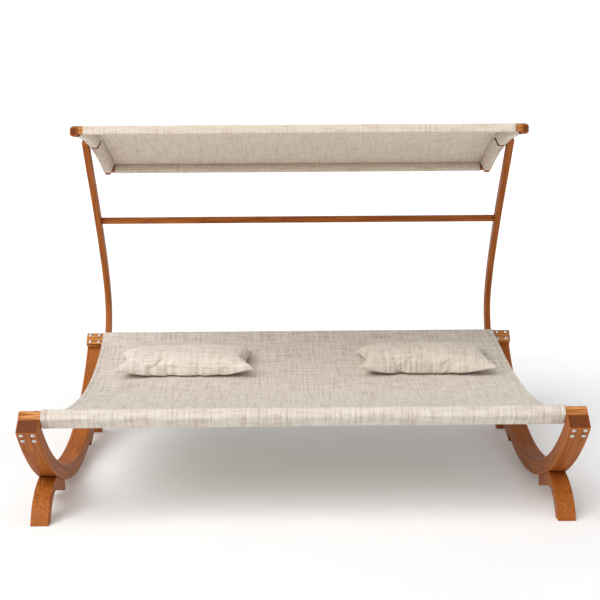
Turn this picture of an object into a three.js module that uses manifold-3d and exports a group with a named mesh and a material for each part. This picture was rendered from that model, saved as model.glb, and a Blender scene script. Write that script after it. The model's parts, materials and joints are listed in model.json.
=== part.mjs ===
// Two-person canopy lounger: a fabric sling between two bent-wood side arcs, on four curved feet,
// with two loose pillows and a tilting fabric canopy on two forward-leaning posts.
// Millimetres. X is the lounger's width, Y its depth (the canopy posts stand at +Y), +Z is up.
// The parts are laid out with Y = 0 under the middle of the side arcs and Z = 0 on the ground.
// At the end the whole is moved along Y, so that the origin is under the middle of its bounding box.

import * as THREE from 'three';
import { mergeVertices } from 'three/addons/utils/BufferGeometryUtils.js';
import Module from 'manifold-3d';

const wasm = await Module();
wasm.setup();

// ---------- driving dimensions ----------

const GAP = 0.3; // left between touching pieces
const WIDTH = 2030; // over the two side arcs

// side arcs
const ARC_OUTER_R = 1093;
const ARC_DEPTH = 60; // measured along the radius
const ARC_THICK = 78; // along X
const ARC_CENTRE_Z = 1113;
const ARC_HALF_ANGLE = THREE.MathUtils.degToRad(48.9);
const ARC_STEPS = 32;
const ARC_EDGE = 4; // edge chamfer

// seat rails, which lie across the ends of the arcs
const RAIL_WIDE = 60; // along the arc
const RAIL_THICK = 38;
const RAIL_EDGE = 6;
const RAIL_BOLT_ALONG = 18; // half the bolts' spacing along the arc
const RAIL_BOLT_ACROSS = 20.5; // half the bolts' spacing along X

// feet
const LEG_THICK = 68; // along X
const LEG_EDGE = 4;

// posts and crossbar
const POST_THICK = 27; // along X
const POST_DEPTH = 45;
const POST_EDGE = 4;
const POST_STEPS = 40;
const CROSSBAR_Y = 628;
const CROSSBAR_Z = 1010;
const CROSSBAR_TALL = 29;
const CROSSBAR_DEEP = 22;

// canopy frame: its side rails follow one large circle, highest at their front end
const CANOPY_R = 2100;
const CANOPY_FRONT_Y = -164;
const CANOPY_TOP_Z = 1433;
const CANOPY_BACK_Y = 732;
const CANOPY_RAIL_THICK = 30; // along X
const CANOPY_RAIL_TALL = 38;
const CANOPY_RAIL_EDGE = 9;
const CANOPY_STEPS = 24;
const END_RAIL_WIDE = 28; // along the side rail
const END_RAIL_TALL = 30;
const END_RAIL_INSET = 20; // from the end of the side rail to the middle of the end rail
const PIVOT_Y = 333;
const SPACER_THICK = 6; // between post and side rail

// canopy fabric
const CLOTH = 2.4; // fabric with its seam allowance
const SLEEVE_ROOM = 1.2; // between a rail and its sleeve
const SLEEVE_GAP = 26; // the bare stretch of side rail at the pivot
const SLEEVE_END = 30; // bare rail at each end of a side rail
const BARE_END = 20; // bare end rail beside a side rail

// seat sling
const SLING_HALF = 935;
const SLING_LOW_Z = 333; // the middle of the sling's top face
const SLING_STEPS = 24;
const SLING_SEAM = 95; // from the rail's middle to the sleeve's seam

// pillows
const PILLOW_WIDE = 572;
const PILLOW_DEEP = 262;
const PILLOW_TALL = 104;
const PILLOW_LEFT_X = -510;
const PILLOW_RIGHT_X = 560;
const PILLOW_Y = 360;

// fasteners
const BOLT_R = 4;
const BOLT_HEAD_R = 8.4;
const BOLT_HEAD_TALL = 4.6;
const SCREW_R = 3;
const SCREW_HEAD_R = 5.6;
const SCREW_HEAD_TALL = 3.4;
const SPACER_R = 13;
const ROUND_SIDES = 10;
const HOLE_RUN = 20; // a through hole runs on past the wood by this much
const BLIND_ROOM = 3; // left in a blind hole past the screw's point

// ---------- derived dimensions ----------

const ARC_INNER_R = ARC_OUTER_R - ARC_DEPTH;
const ARC_INNER_FLAT_R = ARC_INNER_R * Math.cos(ARC_HALF_ANGLE / ARC_STEPS); // at the middle of a facet
const ARC_X = WIDTH / 2 - ARC_THICK / 2;
const ARC_INNER_X = WIDTH / 2 - ARC_THICK;
const LEG_R = ARC_OUTER_R + GAP;
const POST_X = ARC_INNER_X - GAP - POST_THICK / 2;
const CANOPY_CENTRE_Z = CANOPY_TOP_Z - CANOPY_R;
const POST_OUTER_X = POST_X + POST_THICK / 2;
const POST_INNER_X = POST_X - POST_THICK / 2;
const SPACER_X = POST_INNER_X - GAP - SPACER_THICK / 2;
const CANOPY_RAIL_OUTER_X = SPACER_X - SPACER_THICK / 2 - GAP;
const CANOPY_RAIL_X = CANOPY_RAIL_OUTER_X - CANOPY_RAIL_THICK / 2;

// ---------- materials ----------

const material = (color, roughness, metalness = 0) =>
  new THREE.MeshStandardMaterial({ color, roughness, metalness });
const WOOD = material('#a15f33', 0.5);
const WOOD_LIGHT = material('#bd7a45', 0.5);
const LINEN = material('#d4cabd', 0.95);
const PILLOW_LINEN = material('#cfc5b8', 0.95);
const STEEL = material('#c4c5c6', 0.3, 1);
const NYLON = material('#2b2b2c', 0.6);

// ---------- solids ----------

const group = new THREE.Group();

function solidOf(geometry) {
  const bare = geometry.clone();
  bare.deleteAttribute('normal');
  bare.deleteAttribute('uv');
  const merged = mergeVertices(bare, 1e-3);
  return new wasm.Manifold(new wasm.Mesh({
    numProp: 3,
    vertProperties: new Float32Array(merged.attributes.position.array),
    triVerts: new Uint32Array(merged.index.array),
  }));
}

function geometryOf(solid) {
  const mesh = solid.getMesh();
  const geometry = new THREE.BufferGeometry();
  geometry.setAttribute('position', new THREE.BufferAttribute(mesh.vertProperties, 3));
  geometry.setIndex(new THREE.BufferAttribute(mesh.triVerts, 1));
  geometry.computeVertexNormals();
  return geometry;
}

function cut(geometry, tools) {
  return geometryOf(tools.reduce((solid, tool) => solid.subtract(solidOf(tool)), solidOf(geometry)));
}

function join(geometries) {
  return geometryOf(geometries.map(solidOf).reduce((sum, next) => sum.add(next)));
}

function part(name, geometry, surface) {
  const mesh = new THREE.Mesh(geometry, surface);
  mesh.name = name;
  group.add(mesh);
  return mesh;
}

// A side view drawn in (Y, Z), made into a plate that spans X from middle - thick / 2 to middle + thick / 2.
const SIDE_VIEW = new THREE.Matrix4().makeBasis(
  new THREE.Vector3(0, 1, 0), new THREE.Vector3(0, 0, 1), new THREE.Vector3(1, 0, 0));

function plate(outline, middle, thick, edge = 0) {
  const geometry = new THREE.ExtrudeGeometry(outline, {
    depth: thick - 2 * edge,
    bevelEnabled: edge > 0,
    bevelThickness: edge,
    bevelSize: edge,
    bevelOffset: -edge,
    bevelSegments: 1,
  });
  return geometry.applyMatrix4(SIDE_VIEW).translate(middle - thick / 2 + edge, 0, 0);
}

// A rectangle with cut corners, centred on the origin.
function section(wide, tall, edge) {
  const [w, t] = [wide / 2, tall / 2];
  return new THREE.Shape([
    [w, t - edge], [w - edge, t], [edge - w, t], [-w, t - edge],
    [-w, edge - t], [edge - w, -t], [w - edge, -t], [w, edge - t],
  ].map(([x, y]) => new THREE.Vector2(x, y)));
}

// The section turned by angle and moved to (y, z), in the side view.
function placed(shape, angle, y, z) {
  const at = new THREE.Vector2(y, z);
  const centre = new THREE.Vector2();
  return new THREE.Shape(shape.getPoints().map((p) => p.clone().rotateAround(centre, angle).add(at)));
}

// A point at a radius and an angle from straight down, round the arcs' centre.
const onArc = (radius, angle) => new THREE.Vector2(
  radius * Math.sin(angle), ARC_CENTRE_Z - radius * Math.cos(angle));

// A point at a radius and an angle from straight up, round the canopy circle's centre.
const onCanopy = (radius, angle) => new THREE.Vector2(
  CANOPY_FRONT_Y + radius * Math.sin(angle), CANOPY_CENTRE_Z + radius * Math.cos(angle));
const canopyAngle = (y) => Math.asin((y - CANOPY_FRONT_Y) / CANOPY_R);

// The closed band between two radii of a circle, point by point.
function band(point, inner, outer, from, to, steps) {
  const angles = Array.from({ length: steps + 1 }, (_, i) => from + ((to - from) * i) / steps);
  return new THREE.Shape([
    ...angles.map((a) => point(outer, a)),
    ...angles.reverse().map((a) => point(inner, a)),
  ]);
}

// A strip of constant width along a centreline in the side view.
function strip(line, width, steps) {
  const points = line.getSpacedPoints(steps);
  const sides = [1, -1].map((side) => points.map((p, i) => {
    const along = line.getTangentAt(i / steps);
    return new THREE.Vector2(p.x - along.y * side * width / 2, p.y + along.x * side * width / 2);
  }));
  return new THREE.Shape([...sides[0], ...sides[1].reverse()]);
}

const twoSides = [['left', -1], ['right', 1]];
const twoEnds = [['front', -1], ['back', 1]];

// ---------- fasteners ----------

// A bolt of revolution about its local Y, gripping from y = 0 to y = grip, with a low dome at each end.
function domedBolt(grip, radius = BOLT_R, headRadius = BOLT_HEAD_R, headTall = BOLT_HEAD_TALL) {
  return new THREE.LatheGeometry([
    [0, -headTall], [headRadius * 0.6, -headTall * 0.8], [headRadius, -GAP],
    [radius, -GAP], [radius, grip + GAP],
    [headRadius, grip + GAP], [headRadius * 0.6, grip + headTall * 0.8], [0, grip + headTall],
  ].map(([x, y]) => new THREE.Vector2(x, y)), ROUND_SIDES);
}

// A bolt with a dome at y = 0 and a hexagon nut on a protruding end beyond y = grip.
function nuttedBolt(grip) {
  const [nutTall, nutRadius, tail, seat] = [6.5, 7.5, 12, 1.4];
  const bolt = new THREE.LatheGeometry([
    [0, -BOLT_HEAD_TALL], [BOLT_HEAD_R * 0.6, -BOLT_HEAD_TALL * 0.8], [BOLT_HEAD_R, -GAP],
    [BOLT_R, -GAP], [BOLT_R, grip + tail], [0, grip + tail],
  ].map(([x, y]) => new THREE.Vector2(x, y)), ROUND_SIDES);
  const nut = new THREE.CylinderGeometry(nutRadius, nutRadius, nutTall, 6)
    .translate(0, grip + seat + nutTall / 2, 0);
  return join([bolt, nut]);
}

// A blind screw: its dome is at y < 0 and its shank runs to y = length.
function domedScrew(length, radius, headRadius, headTall) {
  return new THREE.LatheGeometry([
    [0, -headTall], [headRadius * 0.6, -headTall * 0.8], [headRadius, -GAP],
    [radius, -GAP], [radius, length - radius], [0, length],
  ].map(([x, y]) => new THREE.Vector2(x, y)), ROUND_SIDES);
}

// The hole that clears a shank of the given radius from y = from to y = to.
function hole(radius, from, to) {
  const wide = (radius + 2 * GAP) / Math.cos(Math.PI / ROUND_SIDES);
  return new THREE.CylinderGeometry(wide, wide, to - from, ROUND_SIDES).translate(0, (from + to) / 2, 0);
}

// Turns local Y to the direction and moves y = 0 to the point.
function aim(geometry, point, direction) {
  const turn = new THREE.Quaternion().setFromUnitVectors(
    new THREE.Vector3(0, 1, 0), direction.clone().normalize());
  return geometry.applyQuaternion(turn).translate(point.x, point.y, point.z);
}

// Four bolts at each corner clamp a seat rail to an arc. They run out along the rail's normal.
const RAIL_MID_ANGLE = ARC_HALF_ANGLE - RAIL_WIDE / 2 / ARC_INNER_R;
const RAIL_SEAT_R = Math.sqrt(ARC_INNER_R ** 2 - (RAIL_WIDE / 2) ** 2) - GAP; // the rail's outer face
const RAIL_MID_R = RAIL_SEAT_R - RAIL_THICK / 2;
const railBolts = [];
for (const [end, endSign] of twoEnds) {
  for (const [side, sideSign] of twoSides) {
    let number = 0;
    for (const alongArc of [-RAIL_BOLT_ALONG, RAIL_BOLT_ALONG]) {
      for (const acrossArc of [-RAIL_BOLT_ACROSS, RAIL_BOLT_ACROSS]) {
        number += 1;
        const out = new THREE.Vector3(0, endSign * Math.sin(RAIL_MID_ANGLE), -Math.cos(RAIL_MID_ANGLE));
        const along = new THREE.Vector3(0, endSign * Math.cos(RAIL_MID_ANGLE), Math.sin(RAIL_MID_ANGLE));
        const start = new THREE.Vector3(sideSign * ARC_X + acrossArc, 0, ARC_CENTRE_Z)
          .addScaledVector(out, RAIL_SEAT_R - RAIL_THICK)
          .addScaledVector(along, alongArc);
        const grip = ARC_OUTER_R - (RAIL_SEAT_R - RAIL_THICK);
        railBolts.push({ name: `${end}_${side}_rail_bolt_${number}`, end, side, start, out, grip });
      }
    }
  }
}

// Two bolts hold each foot to its arc.
const LEG_BOLT_ANGLES = [20.5, 24].map(THREE.MathUtils.degToRad);
const LEG_DEPTHS_AT_BOLTS = [43.5, 49];
const legBolts = [];
for (const [end, endSign] of twoEnds) {
  for (const [side, sideSign] of twoSides) {
    LEG_BOLT_ANGLES.forEach((angle, index) => {
      const out = new THREE.Vector3(0, endSign * Math.sin(angle), -Math.cos(angle));
      const start = new THREE.Vector3(sideSign * ARC_X, 0, ARC_CENTRE_Z)
        .addScaledVector(out, ARC_INNER_FLAT_R);
      const grip = ARC_DEPTH + 2 * GAP + LEG_DEPTHS_AT_BOLTS[index];
      legBolts.push({ name: `${end}_${side}_foot_bolt_${index + 1}`, end, side, start, out, grip });
    });
  }
}

// Two coach screws hold the tail of each post to the inner side of its arc.
const POST_SCREW_POINTS = [[790, 388], [767, 352]];
const POST_SCREW_LENGTH = 75;
const postScrews = [];
for (const [side, sideSign] of twoSides) {
  POST_SCREW_POINTS.forEach(([y, z], index) => {
    const start = new THREE.Vector3(sideSign * (POST_X - POST_THICK / 2), y, z);
    const out = new THREE.Vector3(sideSign, 0, 0);
    postScrews.push({ name: `${side}_post_screw_${index + 1}`, side, start, out });
  });
}

// ---------- side arcs ----------

for (const [side, sideSign] of twoSides) {
  const outline = band(onArc, ARC_INNER_R, ARC_OUTER_R, -ARC_HALF_ANGLE, ARC_HALF_ANGLE, ARC_STEPS);
  const holes = [
    ...railBolts.filter((bolt) => bolt.side === side)
      .map((bolt) => aim(hole(BOLT_R, -HOLE_RUN, bolt.grip + HOLE_RUN), bolt.start, bolt.out)),
    ...legBolts.filter((bolt) => bolt.side === side)
      .map((bolt) => aim(hole(BOLT_R, -HOLE_RUN, bolt.grip + HOLE_RUN), bolt.start, bolt.out)),
    ...postScrews.filter((screw) => screw.side === side)
      .map((screw) => aim(hole(SCREW_R, -HOLE_RUN, POST_SCREW_LENGTH + BLIND_ROOM), screw.start, screw.out)),
  ];
  const arc = plate(outline, sideSign * ARC_X, ARC_THICK, ARC_EDGE);
  part(`${side}_seat_arc`, cut(arc, holes), WOOD);
}

// ---------- feet ----------

// The outline of a back foot: up its outer curve, down along the arc, and back under it.
const LEG_INNER_ANGLE = Math.asin(320 / LEG_R);
const LEG_OUTER_ANGLE = Math.asin(485 / LEG_R);
function footOutline(endSign) {
  const outer = new THREE.SplineCurve([[673, 0], [650, 44], [615, 82], [572, 108], [528, 124]]
    .map(([y, z]) => new THREE.Vector2(y, z)));
  const under = new THREE.SplineCurve([[439, 62.5], [518, 84], [562, 68], [602, 38], [630, 0]]
    .map(([y, z]) => new THREE.Vector2(y, z)));
  const steps = 6;
  const top = Array.from({ length: steps + 1 }, (_, i) =>
    onArc(LEG_R, LEG_OUTER_ANGLE + ((LEG_INNER_ANGLE - LEG_OUTER_ANGLE) * i) / steps));
  const points = [...outer.getPoints(10), ...top, new THREE.Vector2(320, 24), ...under.getPoints(12)];
  return new THREE.Shape(points.map((p) => new THREE.Vector2(endSign * p.x, p.y)));
}

for (const [end, endSign] of twoEnds) {
  for (const [side, sideSign] of twoSides) {
    const holes = legBolts.filter((bolt) => bolt.end === end && bolt.side === side)
      .map((bolt) => aim(hole(BOLT_R, -HOLE_RUN, bolt.grip + HOLE_RUN), bolt.start, bolt.out));
    const foot = plate(footOutline(endSign), sideSign * ARC_X, LEG_THICK, LEG_EDGE);
    part(`${end}_${side}_foot`, cut(foot, holes), WOOD);
  }
}

// ---------- seat rails ----------

for (const [end, endSign] of twoEnds) {
  const middle = onArc(RAIL_MID_R, endSign * RAIL_MID_ANGLE);
  const shape = section(RAIL_WIDE, RAIL_THICK, RAIL_EDGE);
  const outline = placed(shape, endSign * RAIL_MID_ANGLE, middle.x, middle.y);
  const holes = railBolts.filter((bolt) => bolt.end === end)
    .map((bolt) => aim(hole(BOLT_R, -HOLE_RUN, bolt.grip), bolt.start, bolt.out));
  part(`${end}_seat_rail`, cut(plate(outline, 0, WIDTH, 2), holes), WOOD_LIGHT);
}

for (const bolt of railBolts) {
  part(bolt.name, aim(domedBolt(bolt.grip), bolt.start, bolt.out), STEEL);
}
for (const bolt of legBolts) {
  part(bolt.name, aim(nuttedBolt(bolt.grip), bolt.start, bolt.out), STEEL);
}

// ---------- posts and crossbar ----------

// The post's centreline: its tail lies beside the arc, it bows out behind the back rail, and leans forward.
const postLine = new THREE.SplineCurve([
  [764, 330], [797, 385], [817, 434], [843, 500], [853, 566], [837, 647], [780, 772],
  [703, 893], [622, 1008], [523, 1137], [428, 1253], [322, 1388],
].map(([y, z]) => new THREE.Vector2(y, z)));

const PIVOT_ANGLE = canopyAngle(PIVOT_Y);
const PIVOT_Z = onCanopy(CANOPY_R, PIVOT_ANGLE).y;
const CROSSBAR_SCREW_LENGTH = 70;
const PIVOT_GRIP = POST_OUTER_X - CANOPY_RAIL_OUTER_X + CANOPY_RAIL_THICK;

// The point on a post's outer face at (y, z), and the direction from there to the lounger's middle.
const onPost = (sideSign, y, z) => new THREE.Vector3(sideSign * POST_OUTER_X, y, z);
const inward = (sideSign) => new THREE.Vector3(-sideSign, 0, 0);

for (const [side, sideSign] of twoSides) {
  const crossbarPoint = onPost(sideSign, CROSSBAR_Y, CROSSBAR_Z);
  const pivotPoint = onPost(sideSign, PIVOT_Y, PIVOT_Z);
  const holes = [
    ...postScrews.filter((screw) => screw.side === side)
      .map((screw) => aim(hole(SCREW_R, -HOLE_RUN, POST_SCREW_LENGTH), screw.start, screw.out)),
    aim(hole(SCREW_R, -HOLE_RUN, CROSSBAR_SCREW_LENGTH), crossbarPoint, inward(sideSign)),
    aim(hole(BOLT_R, -HOLE_RUN, PIVOT_GRIP), pivotPoint, inward(sideSign)),
  ];
  const post = plate(strip(postLine, POST_DEPTH, POST_STEPS), sideSign * POST_X, POST_THICK, POST_EDGE);
  part(`${side}_post`, cut(post, holes), WOOD);

  const crossbarScrew = domedScrew(CROSSBAR_SCREW_LENGTH, SCREW_R, SCREW_HEAD_R, SCREW_HEAD_TALL);
  part(`${side}_crossbar_screw`, aim(crossbarScrew, crossbarPoint, inward(sideSign)), STEEL);
  part(`${side}_pivot_bolt`, aim(domedBolt(PIVOT_GRIP), pivotPoint, inward(sideSign)), STEEL);
  const spacer = cut(
    new THREE.CylinderGeometry(SPACER_R, SPACER_R, SPACER_THICK, 2 * ROUND_SIDES),
    [hole(BOLT_R, -SPACER_THICK, SPACER_THICK)]);
  const spacerPoint = new THREE.Vector3(sideSign * SPACER_X, PIVOT_Y, PIVOT_Z);
  part(`${side}_pivot_spacer`, aim(spacer, spacerPoint, inward(sideSign)), NYLON);
}
for (const screw of postScrews) {
  const shape = domedScrew(POST_SCREW_LENGTH, SCREW_R, SCREW_HEAD_R, SCREW_HEAD_TALL);
  part(screw.name, aim(shape, screw.start, screw.out), STEEL);
}

const crossbarSection = placed(section(CROSSBAR_DEEP, CROSSBAR_TALL, 3), 0, CROSSBAR_Y, CROSSBAR_Z);
const crossbarHoles = twoSides.map(([, sideSign]) => aim(
  hole(SCREW_R, 0, CROSSBAR_SCREW_LENGTH + BLIND_ROOM),
  onPost(sideSign, CROSSBAR_Y, CROSSBAR_Z), inward(sideSign)));
part('post_crossbar', cut(plate(crossbarSection, 0, 2 * (POST_INNER_X - GAP)), crossbarHoles), WOOD);

// ---------- canopy frame ----------

const CANOPY_BACK_ANGLE = canopyAngle(CANOPY_BACK_Y);
const END_RAIL_R = CANOPY_R + (CANOPY_RAIL_TALL - END_RAIL_TALL) / 2; // its top is flush with the side rails
const END_RAIL_ANGLES = {
  front: END_RAIL_INSET / CANOPY_R,
  back: CANOPY_BACK_ANGLE - END_RAIL_INSET / CANOPY_R,
};
const END_RAIL_HALF = CANOPY_RAIL_X - CANOPY_RAIL_THICK / 2 - GAP;
const CANOPY_SCREW_LENGTH = 75;

// Sweeps a section along the canopy's circle: y is away from the centre, and x runs towards -X, so a section
// that isn't symmetric is drawn mirrored.
function canopySweep(shape, middle, from, to, steps) {
  const geometry = new THREE.ExtrudeGeometry(shape, { depth: 1, steps, bevelEnabled: false });
  const position = geometry.attributes.position;
  for (let i = 0; i < position.count; i++) {
    const p = onCanopy(CANOPY_R + position.getY(i), from + (to - from) * position.getZ(i));
    position.setXYZ(i, middle - position.getX(i), p.x, p.y);
  }
  return geometry;
}

// A flush wood screw, its head's flat at y = 0. With room > 0 it is the hole that the screw needs.
function flushScrew(length, room = 0) {
  const sink = SCREW_HEAD_R - SCREW_R;
  return new THREE.LatheGeometry([
    [0, -room * 8], [SCREW_HEAD_R + room, -room * 8], [SCREW_HEAD_R + room, room / 2],
    [SCREW_R + room, sink + room / 2], [SCREW_R + room, length - SCREW_R + room], [0, length + room],
  ].map(([x, y]) => new THREE.Vector2(x, y)), ROUND_SIDES);
}

const cornerPoint = (sideSign, end) => {
  const p = onCanopy(END_RAIL_R, END_RAIL_ANGLES[end]);
  return new THREE.Vector3(sideSign * CANOPY_RAIL_OUTER_X, p.x, p.y);
};
const SINK = 0.2; // the flush heads sit this far under the surface
const cornerScrew = (sideSign, end, room) => aim(
  flushScrew(CANOPY_SCREW_LENGTH, room), cornerPoint(sideSign, end).addScaledVector(inward(sideSign), SINK),
  inward(sideSign));

for (const [side, sideSign] of twoSides) {
  const railSection = section(CANOPY_RAIL_THICK, CANOPY_RAIL_TALL, CANOPY_RAIL_EDGE);
  const rail = canopySweep(railSection, sideSign * CANOPY_RAIL_X, 0, CANOPY_BACK_ANGLE, CANOPY_STEPS);
  const holes = [
    aim(hole(BOLT_R, 0, PIVOT_GRIP + HOLE_RUN), onPost(sideSign, PIVOT_Y, PIVOT_Z), inward(sideSign)),
    ...twoEnds.map(([end]) => cornerScrew(sideSign, end, 2 * GAP)),
  ];
  part(`canopy_${side}_rail`, cut(rail, holes), WOOD);
  for (const [end] of twoEnds) {
    part(`canopy_${end}_${side}_screw`, cornerScrew(sideSign, end, 0), STEEL);
  }
}

function endRailSection(end, grow) {
  const p = onCanopy(END_RAIL_R, END_RAIL_ANGLES[end]);
  const shape = section(END_RAIL_WIDE + 2 * grow, END_RAIL_TALL + 2 * grow, 5);
  return placed(shape, -END_RAIL_ANGLES[end], p.x, p.y);
}
for (const [end] of twoEnds) {
  const rail = plate(endRailSection(end, 0), 0, 2 * END_RAIL_HALF);
  const holes = twoSides.map(([, sideSign]) => cornerScrew(sideSign, end, 2 * GAP));
  part(`canopy_${end}_rail`, cut(rail, holes), WOOD_LIGHT);
}

// ---------- canopy fabric ----------

// One sheet over the tops of the rails. It has a sleeve round each end rail, and two round each side rail.
// The sleeves stop short of the corners and of the pivots.
const SLEEVE_OUT = SLEEVE_ROOM + CLOTH;
const clothTop = CANOPY_RAIL_TALL / 2 + SLEEVE_OUT;
const clothMiddleHalf = END_RAIL_HALF - BARE_END;
const clothReach = (END_RAIL_WIDE / 2 + SLEEVE_OUT) / CANOPY_R;

const SHEET_PROUD = 0.5; // the sheet stands this far over the sleeves
const clothHalf = CANOPY_RAIL_OUTER_X - CANOPY_RAIL_EDGE;
const sleeveSpans = [
  [SLEEVE_END / CANOPY_R, PIVOT_ANGLE - SLEEVE_GAP / 2 / CANOPY_R],
  [PIVOT_ANGLE + SLEEVE_GAP / 2 / CANOPY_R, CANOPY_BACK_ANGLE - SLEEVE_END / CANOPY_R],
];

// A rectangle in the sweep's section, between two heights over the canopy's circle.
function clothBand(xFrom, xTo, low, high) {
  return new THREE.Shape([[xFrom, low], [xTo, low], [xTo, high], [xFrom, high]]
    .map(([x, y]) => new THREE.Vector2(x, y)));
}

const sheetTop = clothTop + SHEET_PROUD;
const clothPieces = [canopySweep(clothBand(-clothHalf, clothHalf, sheetTop - CLOTH, sheetTop), 0,
  END_RAIL_ANGLES.front - clothReach, END_RAIL_ANGLES.back + clothReach, CANOPY_STEPS)];
const clothCuts = [];
for (const [end] of twoEnds) {
  clothPieces.push(plate(endRailSection(end, SLEEVE_OUT), 0, 2 * clothMiddleHalf));
  clothCuts.push(plate(endRailSection(end, SLEEVE_ROOM), 0, 2 * END_RAIL_HALF));
}
const grownRail = (grow) => section(
  CANOPY_RAIL_THICK + 2 * grow, CANOPY_RAIL_TALL + 2 * grow, CANOPY_RAIL_EDGE + grow / 2);
const notchSpans = [
  [-0.02, sleeveSpans[0][0]],
  [sleeveSpans[0][1], sleeveSpans[1][0]],
  [sleeveSpans[1][1], CANOPY_BACK_ANGLE + 0.02],
];
for (const [, sideSign] of twoSides) {
  const middle = sideSign * CANOPY_RAIL_X;
  for (const [from, to] of sleeveSpans) {
    clothPieces.push(canopySweep(grownRail(SLEEVE_OUT), middle, from, to, CANOPY_STEPS / 2));
  }
  for (const [from, to] of notchSpans) {
    const notch = clothBand(-CANOPY_RAIL_THICK, CANOPY_RAIL_X - clothMiddleHalf, 0, 2 * clothTop);
    const mirrored = clothBand(clothMiddleHalf - CANOPY_RAIL_X, CANOPY_RAIL_THICK, 0, 2 * clothTop);
    clothCuts.push(canopySweep(sideSign > 0 ? notch : mirrored, middle, from, to, 1));
  }
  clothCuts.push(canopySweep(grownRail(SLEEVE_ROOM), middle, -0.01, CANOPY_BACK_ANGLE + 0.01, CANOPY_STEPS));
}
part('canopy_fabric', cut(join(clothPieces), clothCuts), LINEN);

// ---------- seat sling ----------

// In a rail's own axes: along the arc towards its end, and out along the radius.
function fromRail(endSign, along, out) {
  const p = onArc(RAIL_MID_R + out, RAIL_MID_ANGLE);
  return new THREE.Vector2(
    endSign * (p.x + along * Math.cos(RAIL_MID_ANGLE)), p.y + along * Math.sin(RAIL_MID_ANGLE));
}
const SLING_EDGE = fromRail(
  1, RAIL_WIDE / 2 + SLEEVE_OUT - RAIL_EDGE, -RAIL_THICK / 2 - SLEEVE_OUT + CLOTH / 2);
const slingZ = (y) => SLING_LOW_Z + (SLING_EDGE.y - SLING_LOW_Z) * (y / SLING_EDGE.x) ** 2;

const slingYs = Array.from({ length: SLING_STEPS + 1 }, (_, i) => SLING_EDGE.x * ((2 * i) / SLING_STEPS - 1));
const slingSheet = new THREE.Shape([
  ...slingYs.map((y) => new THREE.Vector2(y, slingZ(y) - CLOTH)),
  ...slingYs.reverse().map((y) => new THREE.Vector2(y, slingZ(y))),
]);
const slingPieces = [plate(slingSheet, 0, 2 * SLING_HALF)];
const slingBores = [];
for (const [, endSign] of twoEnds) {
  const middle = onArc(RAIL_MID_R, endSign * RAIL_MID_ANGLE);
  const ring = (grow) => placed(
    section(RAIL_WIDE + 2 * grow, RAIL_THICK + 2 * grow, RAIL_EDGE),
    endSign * RAIL_MID_ANGLE, middle.x, middle.y);
  slingPieces.push(plate(ring(SLEEVE_OUT), 0, 2 * SLING_HALF));
  slingBores.push(plate(ring(SLEEVE_ROOM), 0, WIDTH));
  // the return flap, from the sleeve's lower corner to the seam under the sheet
  const low = fromRail(
    endSign, RAIL_EDGE - RAIL_WIDE / 2 - SLEEVE_OUT, -RAIL_THICK / 2 - SLEEVE_OUT + CLOTH / 2);
  const seamY = endSign * (middle.x * endSign - SLING_SEAM);
  const flap = new THREE.Shape([
    low.clone().add(new THREE.Vector2(0, CLOTH / 2)), new THREE.Vector2(seamY, slingZ(seamY) - CLOTH / 2),
    new THREE.Vector2(seamY, slingZ(seamY) - 1.5 * CLOTH), low.clone().sub(new THREE.Vector2(0, CLOTH / 2)),
  ]);
  slingPieces.push(plate(flap, 0, 2 * SLING_HALF));
}
part('seat_sling', cut(join(slingPieces), slingBores), LINEN);

// ---------- pillows ----------

// A soft oblong that lies on the sling. Its sides pull in between the corners and its seam runs part way up.
function pillow(x) {
  const [across, deep, seamZ, clear, rim] = [18, 10, 40, 1.5, 2];
  const geometry = new THREE.BoxGeometry(2, 2, 2, across, deep, 1);
  const position = geometry.attributes.position;
  for (let i = 0; i < position.count; i++) {
    const [u, v, top] = [position.getX(i), position.getY(i), position.getZ(i) > 0];
    const crown = ((1 - u ** 4) * (1 - v ** 4)) ** 0.55;
    const px = (PILLOW_WIDE / 2) * u * (1 - 0.05 * (1 - v * v));
    const py = (PILLOW_DEEP / 2) * v * (1 - 0.07 * (1 - u * u));
    const lift = top ? rim + seamZ + (PILLOW_TALL - seamZ - rim) * crown : seamZ * (1 - crown);
    position.setXYZ(i, x + px, PILLOW_Y + py, slingZ(PILLOW_Y + py) + clear + lift);
  }
  return geometry;
}
part('pillow_left', pillow(PILLOW_LEFT_X), PILLOW_LINEN);
part('pillow_right', pillow(PILLOW_RIGHT_X), PILLOW_LINEN);

// ---------- origin ----------

const bounds = new THREE.Box3().setFromObject(group, true);
group.position.y = -(bounds.min.y + bounds.max.y) / 2;

export default group;
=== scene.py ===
"""The canopy lounger's looks: oiled bent wood, slubbed linen, two stuffed pillows and plated bolts."""

import json
import math

import bmesh
import bpy
import numpy as np
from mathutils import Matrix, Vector, noise


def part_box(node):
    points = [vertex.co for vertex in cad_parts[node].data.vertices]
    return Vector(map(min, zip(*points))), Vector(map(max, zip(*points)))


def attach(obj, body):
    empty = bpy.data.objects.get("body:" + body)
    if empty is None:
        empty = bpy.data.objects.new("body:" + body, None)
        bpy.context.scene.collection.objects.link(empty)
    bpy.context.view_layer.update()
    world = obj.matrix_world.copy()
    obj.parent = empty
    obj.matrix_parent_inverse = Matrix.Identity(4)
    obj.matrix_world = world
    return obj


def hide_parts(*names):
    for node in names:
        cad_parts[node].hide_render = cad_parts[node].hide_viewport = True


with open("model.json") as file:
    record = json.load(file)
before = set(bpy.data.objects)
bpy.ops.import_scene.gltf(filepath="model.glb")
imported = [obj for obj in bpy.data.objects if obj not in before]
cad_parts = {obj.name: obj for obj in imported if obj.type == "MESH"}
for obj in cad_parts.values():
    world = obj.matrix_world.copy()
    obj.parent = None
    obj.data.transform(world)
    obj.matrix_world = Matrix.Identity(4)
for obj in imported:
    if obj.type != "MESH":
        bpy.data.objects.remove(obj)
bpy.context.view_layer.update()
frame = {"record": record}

scene = bpy.context.scene

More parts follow.
